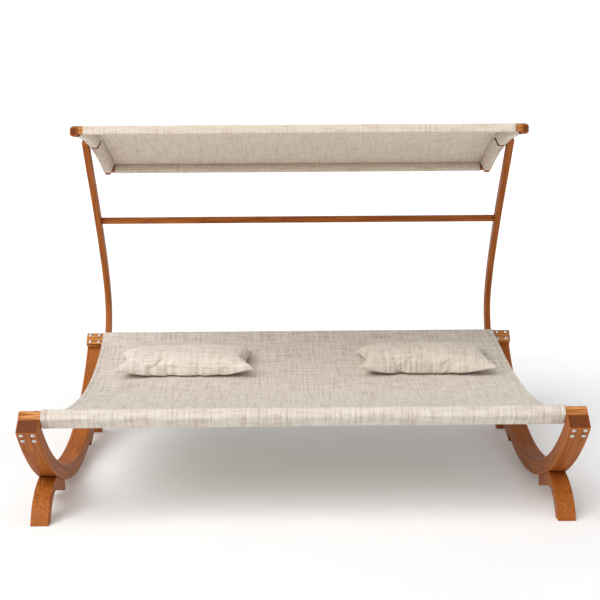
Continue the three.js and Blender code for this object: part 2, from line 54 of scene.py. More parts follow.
# ---------- driving sizes, in metres ----------

ARC_OUTER_R = 1.093
ARC_DEPTH = 0.060
ARC_EDGE = 0.006
ARC_STEPS = 110
RAIL_WIDE = 0.060
RAIL_THICK = 0.038
RAIL_EDGE = 0.006
CANOPY_R = 2.100
CANOPY_RAIL_EDGE = 0.0105
END_RAIL_INSET = 0.020
END_RAIL_HALF = (0.014, 0.015)
BARE_END = 0.020  # bare end rail beside a side rail of the canopy
SLEEVE_GAP = 0.026  # bare side rail at the pivot
SIDE_INSET = 0.037  # bare side rail at each end
CLOTH = 0.0011
ROOM = 0.0012  # between wood and cloth
SIDES = (("left", -1), ("right", 1))
ENDS = (("front", -1), ("back", 1))

# ---------- places, from the frame ----------


def size_of(node):
    low, high = (np.array(c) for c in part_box(node))
    return high - low


def middle_of(node):
    low, high = (np.array(c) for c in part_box(node))
    return (low + high) / 2


arc_low, arc_high = (np.array(c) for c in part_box("right_seat_arc"))
ARC_X = (arc_low[0] + arc_high[0]) / 2
ARC_THICK = arc_high[0] - arc_low[0]
ARC_Y = (arc_low[1] + arc_high[1]) / 2
ARC_Z = arc_low[2] + ARC_OUTER_R
ARC_ANGLE = math.asin((arc_high[1] - arc_low[1]) / 2 / ARC_OUTER_R)
ARC_INNER_R = ARC_OUTER_R - ARC_DEPTH
WIDTH = 2 * arc_high[0]

rail_box_low, rail_box_high = (np.array(c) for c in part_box("canopy_right_rail"))
CANOPY_RAIL_X = (rail_box_low[0] + rail_box_high[0]) / 2
CANOPY_RAIL_HALF = ((rail_box_high[0] - rail_box_low[0]) / 2, 0.019)
CANOPY_Y = rail_box_low[1]
CANOPY_Z = rail_box_high[2] - CANOPY_RAIL_HALF[1] - CANOPY_R
canopy_joint = next(j for j in frame["record"]["behaviour"]["joints"] if j["name"] == "canopy_tilt")
PIVOT = np.array(canopy_joint["pos_m"], float)
PIVOT_ANGLE = math.asin((PIVOT[1] - CANOPY_Y) / CANOPY_R)


def arc_point(radius, angle):
    return np.array([ARC_Y + radius * math.sin(angle), ARC_Z - radius * math.cos(angle)])


def canopy_point(radius, angle):
    return np.array([CANOPY_Y + radius * math.sin(angle), CANOPY_Z + radius * math.cos(angle)])


# The back lower corner of a side rail, on the circle's inner side, is the lowest place of its box.
CANOPY_BACK_ANGLE = math.acos((rail_box_low[2] - CANOPY_Z) / (CANOPY_R - CANOPY_RAIL_HALF[1]))
END_RAIL_R = CANOPY_R + CANOPY_RAIL_HALF[1] - END_RAIL_HALF[1]
END_ANGLES = {
    "front": END_RAIL_INSET / CANOPY_R,
    "back": CANOPY_BACK_ANGLE - END_RAIL_INSET / CANOPY_R,
}
RAIL_MID_ANGLE = ARC_ANGLE - RAIL_WIDE / 2 / ARC_INNER_R
RAIL_SEAT_R = math.sqrt(ARC_INNER_R**2 - (RAIL_WIDE / 2) ** 2) - 0.0003
RAIL_MID_R = RAIL_SEAT_R - RAIL_THICK / 2

# ---------- node materials ----------


class Nodes:
    """A material's node tree, with short calls that add a node and link its inputs."""

    def __init__(self, name):
        self.material = bpy.data.materials.new(name)
        self.material.use_nodes = True
        self.tree = self.material.node_tree
        self.shader = self.tree.nodes["Principled BSDF"]
        self.output = self.tree.nodes["Material Output"]

    def put(self, value, socket):
        if isinstance(value, bpy.types.NodeSocket):
            self.tree.links.new(value, socket)
        elif value is not None:
            socket.default_value = value

    def node(self, kind, inputs=(), **settings):
        made = self.tree.nodes.new(kind)
        for key, value in settings.items():
            setattr(made, key, value)
        for key, value in dict(inputs).items():
            self.put(value, made.inputs[key])
        return made

    def math(self, operation, a, b=None):
        return self.node("ShaderNodeMath", {0: a, 1: b}, operation=operation).outputs[0]

    def ramp(self, value, stops):
        made = self.node("ShaderNodeValToRGB", {0: value})
        points = made.color_ramp.elements
        while len(points) < len(stops):
            points.new(0.5)
        for point, (place, colour) in zip(points, stops):
            point.position = place
            point.color = (*colour, 1) if len(colour) == 3 else colour
        return made.outputs[0]

    def level(self, value, low, high, to_low=0.0, to_high=1.0):
        inputs = {0: value, 1: low, 2: high, 3: to_low, 4: to_high}
        return self.node("ShaderNodeMapRange", inputs).outputs[0]

    def mix(self, share, a, b, blend="MIX"):
        made = self.node("ShaderNodeMix", data_type="RGBA", blend_type=blend)
        for key, value in ((0, share), (6, a), (7, b)):
            value = (*value, 1) if isinstance(value, tuple) and len(value) == 3 else value
            self.put(value, made.inputs[key])
        return made.outputs[2]

    def noise(self, vector, scale=1.0, detail=3.0, rough=0.5, distortion=0.0):
        inputs = {"Vector": vector, "Scale": scale, "Detail": detail, "Roughness": rough,
                  "Distortion": distortion}
        return self.node("ShaderNodeTexNoise", inputs).outputs[0]

    def attribute(self, name, output="Vector"):
        return self.node("ShaderNodeAttribute", attribute_name=name).outputs[output]

    def scaled(self, vector, scale, move=(0, 0, 0)):
        inputs = {"Vector": vector, "Scale": scale, "Location": move}
        return self.node("ShaderNodeMapping", inputs).outputs[0]

    def bump(self, height, strength, distance, normal=None):
        inputs = {"Height": height, "Strength": strength, "Distance": distance}
        if normal is not None:
            inputs["Normal"] = normal
        return self.node("ShaderNodeBump", inputs).outputs[0]


def wood(name, dark, mid, light, rings=0.35):
    """Stained and oiled wood. Its grain follows the attribute grain: along, across and through, in metres."""
    n = Nodes(name)
    grain = n.attribute("grain")
    wander = n.noise(n.scaled(grain, (2.2, 14, 14)), 1, 2, 0.5)
    bands = n.noise(n.scaled(grain, (0.9, 30, 30)), 1, 3, 0.55, 0.8)
    streaks = n.noise(n.scaled(grain, (5, 260, 260)), 1, 4, 0.6)
    pores = n.noise(n.scaled(grain, (45, 1300, 1300)), 1, 2, 0.5)
    ring_place = n.math("ADD", n.math("MULTIPLY", bands, 9.0), n.math("MULTIPLY", wander, 3.0))
    ring = n.math("PINGPONG", ring_place, 0.5)
    ring = n.level(ring, 0.0, 0.5)
    tone = n.math("ADD", n.math("MULTIPLY", ring, rings), n.math("MULTIPLY", streaks, 1.0 - rings))
    colour = n.ramp(tone, [(0.22, dark), (0.5, mid), (0.82, light)])
    cloudy = n.noise(n.scaled(grain, (3.5, 9, 9)), 1, 3, 0.6)
    colour = n.mix(n.level(cloudy, 0.35, 0.7, 0.0, 0.55), colour, tuple(0.78 * c for c in mid), "MIX")
    pore_mask = n.level(pores, 0.28, 0.4, 0.55, 0.0)
    colour = n.mix(pore_mask, colour, tuple(0.45 * c for c in dark))
    # end grain drinks more stain, in blotches
    end = n.attribute("end", "Fac")
    blotch = n.noise(n.scaled(grain, (60, 220, 220)), 1, 4, 0.65, 0.5)
    end_colour = n.ramp(blotch, [(0.3, tuple(0.55 * c for c in dark)), (0.55, dark),
                                 (0.75, tuple(0.8 * c for c in mid))])
    colour = n.mix(end, colour, end_colour)
    # edges are a little paler: partly rubbed wear, partly a painted highlight
    edge_wear_and_highlight = n.math("MULTIPLY", n.attribute("edge", "Fac"), n.level(cloudy, 0.42, 0.62, 0.0, 0.35))
    edge_wear_and_highlight = n.math("MULTIPLY", edge_wear_and_highlight, n.math("SUBTRACT", 1.0, end))
    colour = n.mix(edge_wear_and_highlight, colour, light)
    n.put(colour, n.shader.inputs["Base Color"])
    n.put(n.level(streaks, 0.3, 0.7, 0.58, 0.44), n.shader.inputs["Roughness"])
    n.shader.inputs["Specular IOR Level"].default_value = 0.18
    fine = n.bump(pores, 0.35, 0.0004)
    n.put(n.bump(streaks, 0.3, 0.0006, fine), n.shader.inputs["Normal"])
    return n.material


def linen(name, pale, mid, brown, swap=False):
    """A slubbed linen-look weave. The attribute weave gives the cloth's own place, in metres."""
    n = Nodes(name)
    place = n.attribute("weave")
    if swap:
        parts = n.node("ShaderNodeSeparateXYZ", {0: place}).outputs
        place = n.node("ShaderNodeCombineXYZ", {0: parts[1], 1: parts[0], 2: parts[2]}).outputs[0]
    # slubs: thick places in single threads, several centimetres long
    warp = n.noise(n.scaled(place, (330, 16, 1)), 1, 3, 0.6)
    weft = n.noise(n.scaled(place, (22, 420, 1), (7, 3, 0)), 1, 3, 0.6)
    warp_wide = n.noise(n.scaled(place, (110, 5, 1), (2, 9, 0)), 1, 2, 0.5)
    weft_wide = n.noise(n.scaled(place, (9, 48, 1), (5, 1, 0)), 1, 2, 0.5)
    threads = n.math("ADD", n.math("MULTIPLY", warp, 0.55), n.math("MULTIPLY", weft, 0.45))
    wide = n.math("ADD", n.math("MULTIPLY", warp_wide, 0.55), n.math("MULTIPLY", weft_wide, 0.45))
    tone = n.math("ADD", n.math("MULTIPLY", threads, 0.5), n.math("MULTIPLY", wide, 0.5))
    colour = n.ramp(tone, [(0.39, brown), (0.485, mid), (0.585, pale)])
    fleck = n.noise(n.scaled(place, (500, 90, 1), (1, 4, 0)), 1, 2, 0.5)
    colour = n.mix(n.level(fleck, 0.66, 0.78, 0.0, 0.5), colour, tuple(0.55 * c for c in brown))
    # a stitched seam: a shaded groove with pale stitches in it
    seam = n.attribute("seam", "Fac")
    groove = n.level(seam, 0.0008, 0.0032, 1.0, 0.0)
    colour = n.mix(n.math("MULTIPLY", groove, 0.62), colour, tuple(0.4 * c for c in brown))
    sides = n.node("ShaderNodeSeparateXYZ", {0: place}).outputs
    run = n.math("FRACT", n.math("MULTIPLY", n.math("ADD", sides[0], sides[1]), 1 / 0.0045))
    stitch = n.math("MULTIPLY", n.level(run, 0.28, 0.36), n.level(seam, 0.0004, 0.0008, 1.0, 0.0))
    colour = n.mix(stitch, colour, pale)
    n.put(colour, n.shader.inputs["Base Color"])
    n.put(n.level(threads, 0.3, 0.7, 0.95, 0.8), n.shader.inputs["Roughness"])
    n.shader.inputs["Sheen Weight"].default_value = 0.25
    n.shader.inputs["Sheen Roughness"].default_value = 0.5
    # the plain weave itself, over and under
    pitch = 2 * math.pi / 0.0016
    parts = n.node("ShaderNodeSeparateXYZ", {0: place}).outputs
    over = n.math("SINE", n.math("MULTIPLY", parts[0], pitch))
    under = n.math("SINE", n.math("MULTIPLY", parts[1], pitch))
    cloth = n.math("MULTIPLY", over, under)
    weave = n.bump(cloth, 0.15, 0.0003)
    height = n.math("SUBTRACT", tone, n.math("MULTIPLY", groove, 0.8))
    n.put(n.bump(height, 0.6, 0.0012, weave), n.shader.inputs["Normal"])
    return n.material


def plated_steel(name):
    n = Nodes(name)
    place = n.node("ShaderNodeTexCoord").outputs["Object"]
    spots = n.noise(n.scaled(place, (260, 260, 260)), 1, 3, 0.6)
    n.put(n.ramp(spots, [(0.3, (0.46, 0.46, 0.45)), (0.65, (0.72, 0.72, 0.71))]), n.shader.inputs["Base Color"])
    n.shader.inputs["Metallic"].default_value = 1.0
    n.put(n.level(spots, 0.3, 0.7, 0.22, 0.42), n.shader.inputs["Roughness"])
    n.put(n.bump(spots, 0.15, 0.0003), n.shader.inputs["Normal"])
    return n.material


def nylon(name):
    n = Nodes(name)
    place = n.node("ShaderNodeTexCoord").outputs["Object"]
    grit = n.noise(n.scaled(place, (900, 900, 900)), 1, 2, 0.5)
    colour = n.ramp(grit, [(0.3, (0.015, 0.015, 0.016)), (0.7, (0.03, 0.03, 0.032))])
    n.put(colour, n.shader.inputs["Base Color"])
    n.shader.inputs["Roughness"].default_value = 0.5
    n.put(n.bump(grit, 0.3, 0.0002), n.shader.inputs["Normal"])
    return n.material


WOOD = wood("oiled_wood", (0.155, 0.038, 0.007), (0.37, 0.102, 0.015), (0.53, 0.175, 0.031))
WOOD_PALE = wood("pale_oiled_wood", (0.26, 0.072, 0.015), (0.47, 0.165, 0.038), (0.69, 0.33, 0.105), 0.7)
LINEN = linen("slub_linen", (0.70, 0.635, 0.565), (0.595, 0.525, 0.455), (0.40, 0.325, 0.25))
CANOPY_LINEN = linen("canopy_slub_linen", (0.70, 0.615, 0.52), (0.615, 0.52, 0.42), (0.46, 0.36, 0.27))
PILLOW_LINEN = linen("pillow_linen", (0.76, 0.69, 0.62), (0.67, 0.60, 0.53), (0.49, 0.41, 0.33), swap=True)
# painted shade: the right pillow's linen is a darker copy of the left pillow's linen
PILLOW_LINEN_TURNED_SHADED = linen("pillow_linen_turned_shaded", (0.72, 0.65, 0.57), (0.62, 0.55, 0.47), (0.43, 0.35, 0.27))
STEEL = plated_steel("plated_steel")
NYLON = nylon("black_nylon")

# ---------- meshes ----------


def add_object(name, vertices, faces, material, normals=None, points=None, per_face=None):
    """A smooth mesh object. points and per_face are named values for each vertex and for each face."""
    mesh = bpy.data.meshes.new(name)
    mesh.from_pydata([tuple(map(float, v)) for v in vertices], [], [tuple(map(int, f)) for f in faces])
    mesh.materials.append(material)
    mesh.polygons.foreach_set("use_smooth", [True] * len(mesh.polygons))
    add_values(mesh, "POINT", points)
    add_values(mesh, "FACE", per_face)
    if normals is not None:
        mesh.normals_split_custom_set_from_vertices([tuple(map(float, n)) for n in normals])
    made = bpy.data.objects.new(name, mesh)
    scene.collection.objects.link(made)
    return made


def add_values(mesh, domain, named):
    for key, values in (named or {}).items():
        values = np.asarray(values, float)
        kind, field = ("FLOAT", "value") if values.ndim == 1 else ("FLOAT_VECTOR", "vector")
        mesh.attributes.new(key, kind, domain).data.foreach_set(field, values.ravel())


def bake(made):
    """Applies the object's modifiers."""
    graph = bpy.context.evaluated_depsgraph_get()
    mesh = bpy.data.meshes.new_from_object(made.evaluated_get(graph), depsgraph=graph)
    old = made.data
    made.modifiers.clear()
    made.data = mesh
    mesh.name = made.name
    bpy.data.meshes.remove(old)
    return made


def settle(piece, body, slot, *nodes):
    """The piece rides on the body and hides the CAD nodes it stands for; the slot is not used."""
    if nodes:
        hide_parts(*nodes)
    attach(piece, body)
    return piece


def rounded_ring(half_a, half_b, radius, segments=4):
    """The points of a rounded rectangle, their outward normals, and 1 at each point of a corner's bend."""
    points, normals, bends = [], [], []
    for corner, (sa, sb) in enumerate(((1, 1), (-1, 1), (-1, -1), (1, -1))):
        for i in range(segments + 1):
            turn = math.pi / 2 * (corner + i / segments)
            c, s = math.cos(turn), math.sin(turn)
            points.append((sa * (half_a - radius) + radius * c, sb * (half_b - radius) + radius * s))
            normals.append((c, s))
            bends.append(1.0 if 0 < i < segments else 0.0)
    return points, normals, bends


def lengths_of(points):
    """The length of the path up to each of its points."""
    return np.concatenate([[0], np.cumsum(np.linalg.norm(np.diff(np.asarray(points), axis=0), axis=1))])


def member(name, line, outward, halves, radius, material, end_radius=0.003, seed=0.0):
    """A length of wood along the line. halves are half its size across and half its size along outward."""
    line = np.asarray(line, float)
    lengths = lengths_of(line)
    tangents = np.gradient(line, axis=0)
    tangents /= np.linalg.norm(tangents, axis=1)[:, None]
    outs = np.array([outward(p) if callable(outward) else outward for p in line], float)
    outs -= tangents * np.sum(outs * tangents, axis=1)[:, None]
    outs /= np.linalg.norm(outs, axis=1)[:, None]
    acrosses = np.cross(outs, tangents)
    rings = []  # (index, shift along the tangent, inset, axial part of the normal)
    turns = [math.pi / 2 * k / 4 for k in (4, 3, 2, 1)]
    for turn in turns:
        rings.append((0, end_radius * (1 - math.sin(turn)), end_radius * (1 - math.cos(turn)), -math.sin(turn)))
    inner = [i for i, s in enumerate(lengths) if end_radius < s < lengths[-1] - end_radius]
    rings += [(0, end_radius, 0, 0.0)] + [(i, 0, 0, 0.0) for i in inner] + [(-1, -end_radius, 0, 0.0)]
    for turn in turns[::-1]:
        sine, cosine = math.sin(turn), math.cos(turn)
        rings.append((-1, -end_radius * (1 - sine), end_radius * (1 - cosine), sine))
    vertices, normals, grain, edge = [], [], [], []
    for index, shift, inset, axial in rings:
        a, b, t = acrosses[index], outs[index], tangents[index]
        centre = line[index] + t * shift
        shape = rounded_ring(halves[0] - inset, halves[1] - inset, max(radius - inset, 0.0005))
        for (pa, pb), (na, nb), bend in zip(*shape):
            vertices.append(centre + a * pa + b * pb)
            normals.append(math.sqrt(1 - axial**2) * (a * na + b * nb) + axial * t)
            grain.append((lengths[index] + shift + seed, pa + 3.1 * seed, pb + 1.7 * seed))
            edge.append(bend if axial == 0 else 1.0)
    count = len(vertices) // len(rings)
    faces = []
    for k in range(len(rings) - 1):
        for i in range(count):
            j = (i + 1) % count
            faces.append((k * count + i, k * count + j, (k + 1) * count + j, (k + 1) * count + i))
    faces.append(tuple(range(count))[::-1])
    faces.append(tuple(range(len(vertices) - count, len(vertices))))
    end = [0.0] * (len(faces) - 2) + [1.0, 1.0]
    return add_object(name, vertices, faces, material, normals, {"grain": grain, "edge": edge}, {"end": end})


def side_line(points, x):
    """Points of the side view, (Y, Z), as points in space at the given X."""
    return np.array([(x, y, z) for y, z in points])


def spline(points, steps):
    """A smooth curve through the points, with the given steps between each two."""
    points = np.array(points, float)
    line = []
    for i in range(len(points) - 1):
        p0, p1, p2, p3 = points[max(i - 1, 0)], points[i], points[i + 1], points[min(i + 2, len(points) - 1)]
        v0, v1 = (p2 - p0) / 2, (p3 - p1) / 2
        for t in np.linspace(0, 1, steps, endpoint=False):
            cubic, square = 2 * p1 - 2 * p2 + v0 + v1, 3 * p2 - 3 * p1 - 2 * v0 - v1
            line.append(cubic * t**3 + square * t**2 + v0 * t + p1)
    return np.array(line + [points[-1]])


def rounded(points, radii, steps=6):
    """The path through the points with each inner corner rounded to its radius."""
    points = [np.array(p, float) for p in points]
    path = [points[0]]
    for i in range(1, len(points) - 1):
        before, here, after = points[i - 1], points[i], points[i + 1]
        d1 = (here - before) / np.linalg.norm(here - before)
        d2 = (after - here) / np.linalg.norm(after - here)
        bend = math.acos(max(-1, min(1, float(np.dot(d1, d2)))))
        reach = radii[i - 1] * math.tan(bend / 2)
        start, stop = here - d1 * reach, here + d2 * reach
        for t in np.linspace(0, 1, steps + 1):
            path.append((1 - t) ** 2 * start + 2 * t * (1 - t) * here + t**2 * stop)
    return path + [points[-1]]


def revolved(profile, segments=28):
    """Vertices and faces of a profile turned about Z. Its points are (radius, height, hexagon or round)."""
    vertices, faces = [], []
    for r, h, hexagon in profile:
        for k in range(segments):
            turn = 2 * math.pi * k / segments
            flat = math.cos(math.pi / 6) / math.cos((turn % (math.pi / 3)) - math.pi / 6) if hexagon else 1
            vertices.append((r * flat * math.cos(turn), r * flat * math.sin(turn), h))
    for k in range(len(profile) - 1):
        for i in range(segments):
            j = (i + 1) % segments
            faces.append((k * segments + i, k * segments + j, (k + 1) * segments + j, (k + 1) * segments + i))
    faces.append(tuple(range(segments))[::-1])
    faces.append(tuple(range(len(vertices) - segments, len(vertices))))
    return vertices, faces


def dome(radius, tall, socket):
    """The profile of a domed head on a thin washer, with a hexagon socket. Its base is at height 0."""
    washer = [(radius * 0.5, 0, False), (radius * 1.06, 0, False), (radius * 1.1, tall * 0.06, False),
              (radius * 1.06, tall * 0.13, False)]
    cap = [(radius * math.sin(a), tall * (0.14 + 0.86 * math.cos(a)), False)
           for a in np.radians([88, 78, 66, 54, 42, 31])]
    recess = [(socket * 1.25, tall * 0.985, False), (socket * 1.1, tall * 0.97, True),
              (socket * 1.0, tall * 0.55, True), (socket * 0.3, tall * 0.5, True)]
    return washer + cap + recess


def nut(radius, tall, shank, tail):
    """The profile of a hexagon nut on a washer, with the bolt's end standing out of it."""
    threads = []
    for i in range(int((tail - tall) / 0.0012)):
        height = tall + 0.0012 * i
        threads += [(shank, height, False), (shank * 0.88, height + 0.0006, False)]
    return ([(radius * 0.5, 0, False), (radius * 1.25, 0, False), (radius * 1.25, 0.0013, False),
             (radius * 0.95, 0.0014, False), (radius, 0.002, True), (radius, tall - 0.0006, True),
             (radius * 0.9, tall, True), (shank * 1.02, tall, False)] + threads + [(shank * 0.6, tail, False)])


def fitting(name, parts, material):
    """Turned parts in one object. Each part is a profile, a base point and the direction it faces."""
    vertices, faces = [], []
    for profile, base, direction in parts:
        turn = Vector(direction).to_track_quat("Z", "Y")
        points, rings = revolved(profile)
        faces += [tuple(i + len(vertices) for i in ring) for ring in rings]
        vertices += [Vector(base) + turn @ Vector(p) for p in points]
    made = add_object(name, vertices, faces, material)
    made.data.set_sharp_from_angle(angle=math.radians(35))
    return made


# ---------- side arcs, seat rails and feet ----------

for index, (side, sign) in enumerate(SIDES):
    angles = np.linspace(-ARC_ANGLE, ARC_ANGLE, ARC_STEPS)
    line = side_line([arc_point(ARC_OUTER_R - ARC_DEPTH / 2, a) for a in angles], sign * ARC_X)
    arc = member(f"{side}_bent_arc", line, lambda p: (0, p[1] - ARC_Y, p[2] - ARC_Z),
                 (ARC_THICK / 2, ARC_DEPTH / 2), ARC_EDGE, WOOD, seed=1.3 * index)
    settle(arc, "frame", "wood", f"{side}_seat_arc")


def rail_axes(end_sign):
    """A seat rail's middle, the way along the arc to its end, and the way out, in the side view."""
    angle = end_sign * RAIL_MID_ANGLE
    out = np.array([math.sin(angle), -math.cos(angle)])
    along = np.array([end_sign * math.cos(RAIL_MID_ANGLE), math.sin(RAIL_MID_ANGLE)])
    return arc_point(RAIL_MID_R, angle), along, out


for index, (end, sign) in enumerate(ENDS):
    middle, along, out = rail_axes(sign)
    line = [(x, *middle) for x in np.linspace(-WIDTH / 2, WIDTH / 2, 40)]
    rail = member(f"{end}_rail", line, (0, *out), (RAIL_WIDE / 2, RAIL_THICK / 2), RAIL_EDGE, WOOD_PALE,
                  seed=4 + 1.1 * index)
    settle(rail, "frame", "wood_light", f"{end}_seat_rail")

FOOT_THICK = size_of("front_left_foot")[0]
FOOT_TOP_R = ARC_OUTER_R + 0.0003
FOOT_OUTER = [(0.673, 0), (0.650, 0.044), (0.615, 0.082), (0.572, 0.108), (0.528, 0.124)]
FOOT_UNDER = [(0.439, 0.0625), (0.518, 0.084), (0.562, 0.068), (0.602, 0.038), (0.630, 0)]
FOOT_TIP = (0.320, 0.024)
FOOT_SLOPE = math.radians(12)  # the way the grain runs


def foot(end, end_sign, side, x, seed):
    top = np.linspace(math.asin(0.485 / FOOT_TOP_R), math.asin(0.320 / FOOT_TOP_R), 14)
    outline = [tuple(p) for p in spline(FOOT_OUTER, 6)]
    outline += [(FOOT_TOP_R * math.sin(a), ARC_Z - FOOT_TOP_R * math.cos(a)) for a in top]
    outline += [FOOT_TIP] + [tuple(p) for p in spline(FOOT_UNDER, 6)]
    outline = [(ARC_Y + end_sign * y, z) for y, z in outline]
    count = len(outline)
    vertices = [(x + s * FOOT_THICK / 2, y, z) for s in (-1, 1) for y, z in outline]
    faces = [tuple(range(count)), tuple(range(count, 2 * count))[::-1]]
    faces += [(i, i + count, (i + 1) % count + count, (i + 1) % count) for i in range(count)]
    made = add_object(f"{end}_{side}_bent_foot", vertices, faces, WOOD)
    shape = bmesh.new()
    shape.from_mesh(made.data)
    bmesh.ops.recalc_face_normals(shape, faces=shape.faces)
    shape.to_mesh(made.data)
    shape.free()
    bevel = made.modifiers.new("edges", "BEVEL")
    bevel.width, bevel.segments, bevel.limit_method = 0.0045, 4, "ANGLE"
    bevel.angle_limit = math.radians(32)
    bevel.harden_normals = True
    bake(made)
    mesh = made.data
    c, s = math.cos(FOOT_SLOPE), math.sin(FOOT_SLOPE)
    grain, end_share = [], []
    for v in mesh.vertices:
        y, z = end_sign * (v.co.y - ARC_Y), v.co.z
        grain.append((c * y - s * z + seed, s * y + c * z + 2.3 * seed, v.co.x + seed))
    for polygon in mesh.polygons:
        n = polygon.normal
        end_share.append(1.0 if abs(n.z) > 0.9 and polygon.center.z < 0.01 or end_sign * n.y < -0.9 else 0.0)
    add_values(mesh, "POINT", {"grain": grain, "edge": np.zeros(len(mesh.vertices))})
    add_values(mesh, "FACE", {"end": end_share})
    return settle(made, "frame", "wood", f"{end}_{side}_foot")


for row, (end, end_sign) in enumerate(ENDS):
    for column, (side, side_sign) in enumerate(SIDES):
        foot(end, end_sign, side, side_sign * ARC_X, 9 + 2.7 * row + 1.9 * column)

# ---------- posts and crossbar ----------

POST_HALVES = (size_of("left_post")[0] / 2, 0.0225)
POST_LINE = [(0.764, 0.330), (0.797, 0.385), (0.817, 0.434), (0.843, 0.500), (0.853, 0.566), (0.837, 0.647),
             (0.780, 0.772), (0.703, 0.893), (0.622, 1.008), (0.523, 1.137), (0.428, 1.253), (0.322, 1.388)]
for index, (side, sign) in enumerate(SIDES):
    points = spline(POST_LINE, 8) + np.array([ARC_Y, 0])
    line = side_line(points, middle_of(f"{side}_post")[0])
    post = member(f"{side}_bent_post", line, (0, 1, 0.35), POST_HALVES, 0.005, WOOD, 0.005, 14 + 1.7 * index)
    settle(post, "frame", "wood", f"{side}_post")

bar_low, bar_high = (np.array(c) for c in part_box("post_crossbar"))
bar_middle, bar_half = (bar_low + bar_high) / 2, (bar_high - bar_low) / 2
line = [(x, *bar_middle[1:]) for x in np.linspace(bar_low[0], bar_high[0], 40)]
crossbar = member("crossbar", line, (0, 0, 1), (bar_half[1], bar_half[2]), 0.0035, WOOD, 0.001, 19)
settle(crossbar, "frame", "wood", "post_crossbar")

# ---------- canopy frame ----------

for index, (side, sign) in enumerate(SIDES):
    angles = np.linspace(0, CANOPY_BACK_ANGLE, 60)
    line = side_line([canopy_point(CANOPY_R, a) for a in angles], sign * CANOPY_RAIL_X)
    rail = member(f"canopy_{side}_bent_rail", line, lambda p: (0, p[1] - CANOPY_Y, p[2] - CANOPY_Z),
                  CANOPY_RAIL_HALF, CANOPY_RAIL_EDGE, WOOD, 0.005, 22 + 1.3 * index)
    settle(rail, "canopy", "wood", f"canopy_{side}_rail")
for index, (end, sign) in enumerate(ENDS):
    y, z = canopy_point(END_RAIL_R, END_ANGLES[end])
    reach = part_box(f"canopy_{end}_rail")[1].x
    angle = END_ANGLES[end]
    line = [(x, y, z) for x in np.linspace(-reach, reach, 40)]
    # the back bar takes the darker wood instead of the pale one: painted shade for the shade it sits in
    rail = member(f"canopy_{end}_bar", line, (0, math.sin(angle), math.cos(angle)), END_RAIL_HALF, 0.005,
                  WOOD_PALE if end == "front" else WOOD, 0.0008, 26 + 1.9 * index)
    settle(rail, "canopy", "wood_light", f"canopy_{end}_rail")

# ---------- bolts, nuts, screws and spacers ----------

BOLT_HEAD = (0.0076, 0.0046, 0.0026)
SCREW_HEAD = (0.0050, 0.0034, 0.0017)
RAIL_GRIP = ARC_OUTER_R - (RAIL_SEAT_R - RAIL_THICK)
FOOT_BOLTS = ((20.5, 0.0435), (24, 0.049))  # the angle on the arc, and the foot's depth there
FOOT_NUT = (0.0075, 0.0075, 0.004, 0.012)
for end, end_sign in ENDS:
    middle, along, out = rail_axes(end_sign)
    out = np.array([0, *out])
    for side, side_sign in SIDES:
        for number in range(1, 5):
            node = f"{end}_{side}_rail_bolt_{number}"
            centre = middle_of(node)
            parts = [(dome(*BOLT_HEAD), centre + out * RAIL_GRIP / 2, out),
                     (dome(*BOLT_HEAD), centre - out * RAIL_GRIP / 2, -out)]
            settle(fitting(f"{node}_heads", parts, STEEL), "frame", "steel", node)
        for number, (angle, depth) in enumerate(FOOT_BOLTS, 1):
            node = f"{end}_{side}_foot_bolt_{number}"
            turn = end_sign * math.radians(angle)
            down = np.array([0, math.sin(turn), -math.cos(turn)])
            inner = np.array([side_sign * ARC_X, *arc_point(ARC_INNER_R, turn)])
            parts = [(dome(*BOLT_HEAD), inner, -down),
                     (nut(*FOOT_NUT), inner + down * (ARC_DEPTH + 0.0006 + depth), down)]
            settle(fitting(f"{node}_ends", parts, STEEL), "frame", "steel", node)

canopy_outer_x = CANOPY_RAIL_X + CANOPY_RAIL_HALF[0]
for side, sign in SIDES:
    outward = np.array([sign, 0.0, 0.0])
    post_x = sign * middle_of("right_post")[0]
    for number in (1, 2):
        node = f"{side}_post_screw_{number}"
        base = middle_of(node) * (0, 1, 1) + outward * (abs(post_x) - POST_HALVES[0])
        settle(fitting(f"{node}_head", [(dome(*SCREW_HEAD), base, -outward)], STEEL), "frame", "steel", node)
    node = f"{side}_crossbar_screw"
    base = middle_of(node) * (0, 1, 1) + outward * (abs(post_x) + POST_HALVES[0])
    settle(fitting(f"{node}_head", [(dome(*SCREW_HEAD), base, outward)], STEEL), "frame", "steel", node)
    node = f"{side}_pivot_bolt"
    base = middle_of(node) * (0, 1, 1)
    parts = [(dome(*BOLT_HEAD), base + outward * (abs(post_x) + POST_HALVES[0]), outward),
             (dome(*BOLT_HEAD), base + outward * (CANOPY_RAIL_X - CANOPY_RAIL_HALF[0]), -outward)]
    settle(fitting(f"{node}_heads", parts, STEEL), "frame", "steel", node)
    node = f"{side}_pivot_spacer"
    low, high = (np.array(c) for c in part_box(node))
    thick, radius = high[0] - low[0], (high[2] - low[2]) / 2
    ring = [(radius * 0.4, 0, False), (radius - 0.001, 0, False), (radius, 0.001, False),
            (radius, thick - 0.001, False), (radius - 0.001, thick, False), (radius * 0.4, thick, False)]
    base = middle_of(node) - outward * thick / 2
    settle(fitting(f"{side}_washer", [(ring, base, outward)], NYLON), "frame", "nylon", node)
    for end, _ in ENDS:
        node = f"canopy_{end}_{side}_screw"
        y, z = canopy_point(END_RAIL_R, END_ANGLES[end])
        flat = [(0.0028, 0.0, False), (0.0056, 0.0, False), (0.0056, 0.0004, False), (0.005, 0.0006, False),
                (0.0028, 0.0006, False), (0.0021, 0.0005, True), (0.0018, 0.0001, True)]
        base = np.array([sign * canopy_outer_x, y, z])
        settle(fitting(f"{node}_head", [(flat, base, outward)], STEEL), "canopy", "steel", node)

# ---------- cloth sheets ----------


